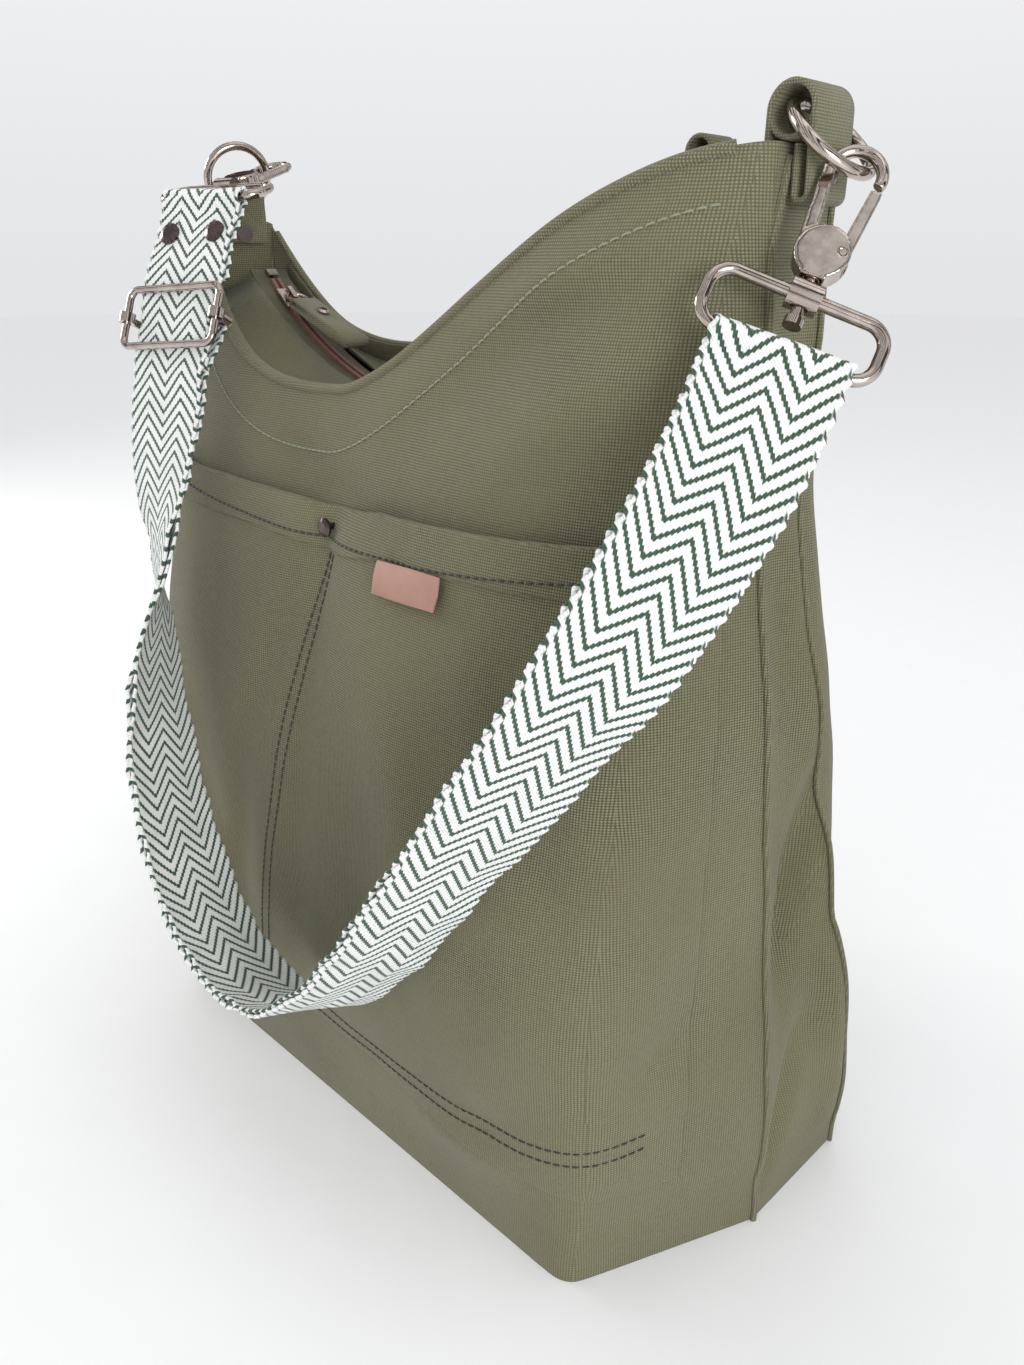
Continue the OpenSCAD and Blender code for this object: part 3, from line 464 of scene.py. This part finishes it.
# ---------- the bag ----------
front = cloth("front_panel", OUTSIDE)
back = cloth("back_panel", OUTSIDE)
cloth("gusset_right", OUTSIDE)
cloth("gusset_left", OUTSIDE)
cloth("base_panel", OUTSIDE, 0, False)
pocket = cloth("front_pocket", OUTSIDE)
# The facings and zip panels inside the mouth get the darker canvas copy, which is painted shade.
cloth("front_facing", SHADED_INNER_CANVAS, 2)
cloth("back_facing", SHADED_INNER_CANVAS, 2)
cloth("zip_panel_front", SHADED_INNER_CANVAS, 1, False)
cloth("zip_panel_back", SHADED_INNER_CANVAS, 1, False)


def surface(*things):
    """A search tree over the finished faces of some pieces."""
    bm = bmesh.new()
    for thing in things:
        bm.from_mesh(thing.data)
    tree = BVHTree.FromBMesh(bm)
    bm.free()
    return tree


def laid(tree, points, direction, lift):
    """Points dropped onto a surface along a direction, with the surface's normals."""
    spots, ups = [], []
    for p in points:
        hit, normal, _, _ = tree.ray_cast(Vector(p) - Vector(direction) * 0.3, Vector(direction))
        if hit is not None:
            normal = normal if normal.dot(Vector(direction)) < 0 else -normal
            spots.append(hit + normal * (lift * MM))
            ups.append(normal)
    return spots, ups


def rim(tree, way, half=139, step=3):
    """The upper edge of a panel from left to right, felt for in each column by rays along y."""
    edge = []
    for x in range(-half, half + 1, step):
        low, high = 0.27, 0.42
        for _ in range(11):
            z = (low + high) / 2
            hit = tree.ray_cast(Vector((x * MM, -0.4 * way, z)), Vector((0, way, 0)))[0]
            low, high = (z, high) if hit else (low, z)
        hit = tree.ray_cast(Vector((x * MM, -0.4 * way, low - 0.0008)), Vector((0, way, 0)))[0]
        if hit:
            edge.append(hit)
    for _ in range(2):
        middles = [(a + b * 2 + c) / 4 for a, b, c in zip(edge, edge[1:], edge[2:])]
        edge = [edge[0]] + middles + [edge[-1]]
    return edge


front_skin = surface(front)
back_skin = surface(back)
pocket_skin = surface(pocket, front)


def sewn(name, tree, points, direction, material=OLIVE_THREAD, lift=0.05):
    """A stitch row on the bag, laid onto its cloth."""
    spots, ups = laid(tree, points, direction, lift)
    if len(spots) > 2:
        stitch_row(name, spots, ups, material, "bag")


def between(a, b, n=40):
    a, b = Vector(a), Vector(b)
    return [a.lerp(b, i / n) for i in range(n + 1)]


FORWARD, BACKWARD = (0, 1, 0), (0, -1, 0)
front_rim = even(rim(front_skin, 1), 3 * MM)
back_rim = even(rim(back_skin, -1), 3 * MM)


def below(points, deep=22, shallow=13):
    """A row under the rim, deeper where the mouth sags and shallower towards the right corner."""
    return [p - Vector((0, 0, (deep + (shallow - deep) * max(0, p.x / 0.139)) * MM)) for p in points]


sewn("hem_stitch_front", front_skin, below(front_rim), FORWARD, PALE_THREAD)
sewn("hem_stitch_back", back_skin, below(back_rim), BACKWARD, PALE_THREAD)

POCKET_TOP = 268


def pocket_line(low, high, height):
    """A level row across the pocket, following its raised ends."""
    places = [low + (high - low) * i / 60 for i in range(61)]
    return [Vector((x, 0, height + 0.012 * (x / 0.15) ** 2)) for x in places]


hem_line = pocket_line(-0.138, 0.146, (POCKET_TOP - 10.5) * MM)
sewn("pocket_hem_stitch", pocket_skin, hem_line, FORWARD, lift=0.15)
sewn("pocket_split_left", pocket_skin, between((-0.004, 0, 0.252), (-0.046, 0, 0.060)), FORWARD)
sewn("pocket_split_right", pocket_skin, between((0.000, 0, 0.252), (-0.041, 0, 0.060)), FORWARD)
for k, lift in enumerate((49, 55)):
    sewn(f"pocket_foot_stitch_{k}", pocket_skin, pocket_line(-0.146, 0.146, lift * MM), FORWARD)


# ---------- rolled edges and seams ----------
def rolled(name, points, ups, material, width, height, body="bag"):
    bm = bmesh.new()
    sweep(bm, path_frames(points, ups), round_outline(width * MM, height * MM, 10))
    bmesh.ops.recalc_face_normals(bm, faces=bm.faces)
    weave_uv(bm)
    return piece(name, bm, material, body)


def rim_roll(name, points, inwards, width):
    """The turned edge of the mouth, a soft roll that covers the panel's and the facing's raw tops."""
    moved = [p + Vector((0, inwards * MM, 0.2 * MM)) for p in points]
    return rolled(name, moved, Vector((0, 0, 1)), OUTSIDE, width, width * 0.74)


rim_roll("front_rim_roll", front_rim, 1.5, 6.0)
rim_roll("back_rim_roll", back_rim, 0.3, 3.6)


def seam_points(node_name, side):
    """The upright edge of a gusset, from the floor to the rim, on its front or back side."""
    rows = {}
    for v in nodes[node_name].data.vertices:
        rows.setdefault(round(v.co.z / 0.006), []).append(v.co)
    picks = [min(row, key=lambda p: side * p.y - abs(p.x) * 0.6) for row in rows.values()]
    picks = sorted((p.copy() for p in picks), key=lambda p: p.z)
    # A height that holds no corner of this edge gives a point of the other edge, which is left out
    edge = [p for i, p in enumerate(picks) if side < 0 or side * p.y < 0.015 + min(
        side * q.y for q in picks[max(0, i - 3) : i + 4])]
    kept = [edge[0]]
    for p in edge[1:]:
        if p.z - kept[-1].z > 0.012:
            kept.append(p)
    return kept


for gusset, sign in (("gusset_right", 1), ("gusset_left", -1)):
    for edge, side in (("front", 1), ("back", -1)):
        raw = even(seam_points(gusset, side), 5 * MM)
        ups = [Vector((sign, -side * 0.6, 0)).normalized()] * len(raw)
        points = [p + sag(p) + u * (0.3 * MM) for p, u in zip(raw, ups)]
        rolled(f"{gusset}_{edge}_seam", points, ups, OUTSIDE, 2.6, 2.2)


# ---------- strap ----------
def strap_rows():
    """The webbing's cross sections from end to end, each as its six corners."""
    bm = bmesh.new()
    bm.from_mesh(nodes["strap_webbing"].data)
    bmesh.ops.remove_doubles(bm, verts=bm.verts, dist=1e-6)
    bmesh.ops.dissolve_degenerate(bm, edges=bm.edges, dist=1e-7)
    bm.verts.ensure_lookup_table()
    seen, rows = set(), []
    row = end_row(bm)
    while row:
        rows.append([v.co.copy() for v in row])
        seen.update(v.index for v in row)
        following = []
        for v in row:
            step = [e.other_vert(v) for e in v.link_edges if e.other_vert(v).index not in seen]
            following += [w for w in step if w not in following]
        row = following if len(following) == 6 else []
    bm.free()
    return rows


# A cut end is 40 by 1.6 mm and is made of four triangles of about 16 square millimetres
END_TRIANGLE = (15e-6, 17e-6)


def end_row(bm):
    """The six corners of one cut end of the webbing."""
    for v in bm.verts:
        flat = [f for f in v.link_faces if END_TRIANGLE[0] < f.calc_area() < END_TRIANGLE[1]]
        group = set()
        for f in flat:
            normal = f.normal
            stack = [f]
            while stack:
                g = stack.pop()
                if g.index in group:
                    continue
                group.add(g.index)
                for e in g.edges:
                    for h in e.link_faces:
                        if h.index not in group and h.normal.dot(normal) > 0.9999:
                            stack.append(h)
            if len(group) == 4:
                bm.faces.ensure_lookup_table()
                corners = {w for i in group for w in bm.faces[i].verts}
                if len(corners) == 6:
                    return sorted(corners, key=lambda w: w.index)
            group = set()
    return []


rows = strap_rows()


def strap_frames():
    """Smooth frames along the webbing, a millimetre or so apart, with the distance from its end."""
    middles = [sum(row, Vector()) / 6 for row in rows]
    sides = []
    for row in rows:
        a, b = max(((p, q) for p in row for q in row), key=lambda pair: (pair[0] - pair[1]).length)
        wide = (b - a).normalized()
        if sides and wide.dot(sides[-1]) < 0:
            wide = -wide
        sides.append(wide)
    frames, distance = [], 0.0
    for i in range(len(middles) - 1):
        p0, p1 = middles[max(i - 1, 0)], middles[i]
        p2, p3 = middles[i + 1], middles[min(i + 2, len(middles) - 1)]
        length = (p2 - p1).length
        count = max(1, round(length / (0.9 * MM)))
        for k in range(count):
            t = k / count
            m1, m2 = (p2 - p0) / 2, (p3 - p1) / 2
            if (p1 - p0).length < length * 0.4:
                m1 = (p1 - p0).normalized() * length if (p1 - p0).length > 0 else p2 - p1
            if (p3 - p2).length < length * 0.4:
                m2 = (p3 - p2).normalized() * length if (p3 - p2).length > 0 else p2 - p1
            h = (2 * t**3 - 3 * t**2 + 1, t**3 - 2 * t**2 + t, -2 * t**3 + 3 * t**2, t**3 - t**2)
            point = p1 * h[0] + m1 * h[1] + p2 * h[2] + m2 * h[3]
            frames.append([point, sides[i].lerp(sides[i + 1], t).normalized(), distance + length * t])
        distance += length
    frames.append([middles[-1], sides[-1], distance])
    squared = []
    for i, (p, wide, s) in enumerate(frames):
        run = (frames[min(i + 1, len(frames) - 1)][0] - frames[max(i - 1, 0)][0]).normalized()
        wide = (wide - run * wide.dot(run)).normalized()
        squared.append((p, wide, run.cross(wide).normalized(), s))
    return squared


def strap_piece():
    frames = strap_frames()
    half, thick, scallop = 19.4 * MM, 0.8 * MM, 5.4 * MM
    bm = bmesh.new()
    # One face from edge to edge, with a cord along each edge, and the same face turned over
    upper = [(-1.0, 0.0), (-0.975, 0.8), (-0.93, 0.95), (-0.895, 0.72), (-0.5, 0.85), (0, 0.85),
             (0.5, 0.85), (0.895, 0.72), (0.93, 0.95), (0.975, 0.8)]
    outline = upper + [(-u, -w) for u, w in upper]
    sweep(bm, [f[:3] for f in frames], [(u * half, w * thick) for u, w in outline])
    bmesh.ops.recalc_face_normals(bm, faces=bm.faces)
    bm.verts.ensure_lookup_table()
    layer = bm.loops.layers.uv.new("weave")
    n = len(outline)
    place = {}
    for v in bm.verts:
        k = min(v.index // n, len(frames) - 1)
        p, wide, out, s = frames[k]
        u = (v.co - p).dot(wide)
        edge = max(0.0, (abs(u) / half - 0.9) / 0.1)
        v.co += wide * (math.copysign(1, u) * edge * 0.55 * MM * math.sin(2 * math.pi * s / scallop))
        v.co += out * ((v.co - p).dot(out) * 0.12 * edge * math.sin(2 * math.pi * s / scallop + 1.2))
        place[v.index] = (s, u)
    for face in bm.faces:
        for loop in face.loops:
            loop[layer].uv = place[loop.vert.index]
    made = piece("strap_webbing_ribbon", bm, WEBBING, "strap")
    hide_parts("strap_webbing")
    return made


if rows:
    strap_piece()


# ---------- metal ----------
def cast(node_name, material, voxel=0.35, smooths=6):
    """A cast piece: the CAD shape with its edges tumbled round, as die casting and polishing leave it."""
    bm = copy_of(node_name)
    mesh = bpy.data.meshes.new("blank")
    bm.to_mesh(mesh)
    bm.free()
    blank = bpy.data.objects.new("blank", mesh)
    bpy.context.scene.collection.objects.link(blank)
    remesh = blank.modifiers.new("remesh", "REMESH")
    remesh.mode = "VOXEL"
    remesh.voxel_size = voxel * MM
    tumble = blank.modifiers.new("tumble", "SMOOTH")
    tumble.factor = 0.5
    tumble.iterations = smooths
    bm = bmesh.new()
    bm.from_object(blank, bpy.context.evaluated_depsgraph_get())
    bpy.data.objects.remove(blank)
    made = piece(node_name + "_cast", bm, material, body_of_node[node_name])
    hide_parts(node_name)
    return made


for side in ("right", "left"):
    cast("hook_" + side, NICKEL, 0.4, 10)
    cast("gate_" + side, NICKEL, 0.25, 6)
cast("zip_slider", NICKEL, 0.3, 4)


def dress(names, material):
    """Gives CAD nodes whose shape is already right their finish."""
    for name in names:
        thing = nodes[name]
        thing.data.materials.clear()
        thing.data.materials.append(material)
        for face in thing.data.polygons:
            face.use_smooth = True


dress(["ring_right", "ring_left", "web_loop_right", "web_loop_left", "slider_frame", "zip_pull_ring"], NICKEL)
dress(["ferrule_right", "ferrule_left", "swivel_post_right", "swivel_post_left", "slider_bar", "zip_stops",
       "gate_pin_right", "gate_pin_left", "gate_spring_right", "gate_spring_left", "zip_pull_rivet"], NICKEL)
# The tab rivets get the darker nickel as painted shade for the inside of the mouth; the strap and pocket
# rivets get the same darker nickel.
dress(["tab_rivet_right", "tab_rivet_left", "strap_rivets"], DARKER_NICKEL_AND_SHADE)
dress(["pocket_rivet"], DARKER_NICKEL_AND_SHADE)
dress(["key_ring"], COPPERY)
dress(["zip_teeth_front", "zip_teeth_back"], COIL)
dress(["zip_tape_front", "zip_tape_back"], TAPE)
for name in ("tab_right", "tab_left", "key_loop"):
    cloth(name, TRIM, 1, False, 0.6)
cloth("zip_pull_strip", TRIM, 1, False, 0.6)
cloth("label", LABEL, 1, False, 0.6)


# ---------- floor and surroundings ----------
def floor():
    bm = bmesh.new()
    bmesh.ops.create_circle(bm, cap_ends=True, segments=96, radius=9.0)
    mesh = bpy.data.meshes.new("floor")
    bm.to_mesh(mesh)
    bm.free()
    made = bpy.data.objects.new("floor", mesh)
    bpy.context.scene.collection.objects.link(made)
    made.data.materials.append(paper_floor())


floor()
surroundings = bpy.data.worlds.new("studio")
bpy.context.scene.world = surroundings
surroundings.use_nodes = True
air = surroundings.node_tree
air.nodes.clear()
direction = node(air, "ShaderNodeTexCoord").outputs["Generated"]
height = ramp(air, node(air, "ShaderNodeSeparateXYZ", {0: direction}).outputs[2], 0.0, 0.3)
sky = blend_colour(air, height, rgb("#e4e5e7"), rgb("#f4f4f5"))
plain = node(air, "ShaderNodeBackground", {"Color": sky, "Strength": 1.0})
cards = node(air, "ShaderNodeTexWave", {"Vector": direction, "Scale": 1.1, "Distortion": 2.2, "Detail": 1.0},
             bands_direction="X").outputs["Fac"]
tone = blend_colour(air, ramp(air, cards, 0.26, 0.4), rgb("#3a2a24"), rgb("#ffffff"))
room = node(air, "ShaderNodeBackground", {"Color": tone, "Strength": 0.9})
glossy = node(air, "ShaderNodeLightPath").outputs["Is Glossy Ray"]
mixed = node(air, "ShaderNodeMixShader", {0: glossy, 1: plain.outputs[0], 2: room.outputs[0]})
node(air, "ShaderNodeOutputWorld", {0: mixed.outputs[0]})
bpy.context.scene.view_settings.view_transform = "Standard"
